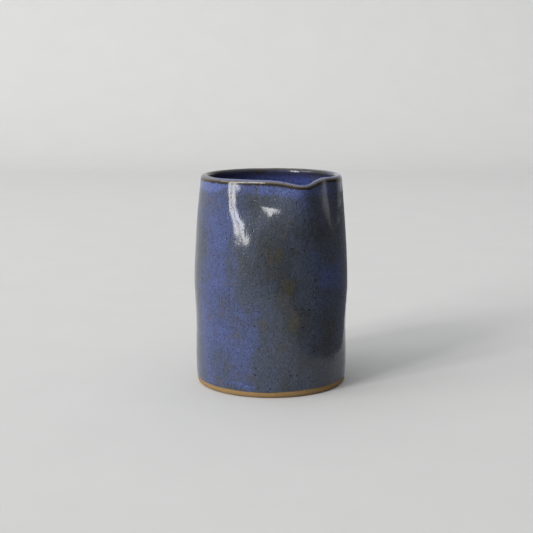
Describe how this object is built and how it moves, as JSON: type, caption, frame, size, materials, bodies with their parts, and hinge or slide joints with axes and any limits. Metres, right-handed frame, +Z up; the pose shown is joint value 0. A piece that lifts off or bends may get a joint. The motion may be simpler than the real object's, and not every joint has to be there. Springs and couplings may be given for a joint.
{
  "type": "spouted stoneware mug",
  "caption": "Handleless stoneware mug with a slight barrel, a rounded lip pinched into a pouring spout, mottled blue glaze and a bare clay foot.",
  "frame": {"origin": "centre of the ring that the mug stands on", "axes": "+Z up along the mug's axis, -Y out through the middle of the spout, +X to the right of someone who faces the spout"},
  "size_m": [0.0734, 0.0749, 0.0995],
  "materials": {
    "bare_clay": "unglazed fired stoneware, matt and slightly gritty",
    "blue_glaze": "glossy mottled blue glaze with olive-brown clouds and fine dark specks",
    "lip_glaze": "glossy glaze broken to olive brown over the lip",
    "lining_glaze": "glossy deep blue glaze lining"
  },
  "bodies": {
    "root": {"clay_body": "bare_clay", "outer_glaze": "blue_glaze", "lip_glaze": "lip_glaze", "inner_glaze": "lining_glaze"}
  },
  "joints": []
}
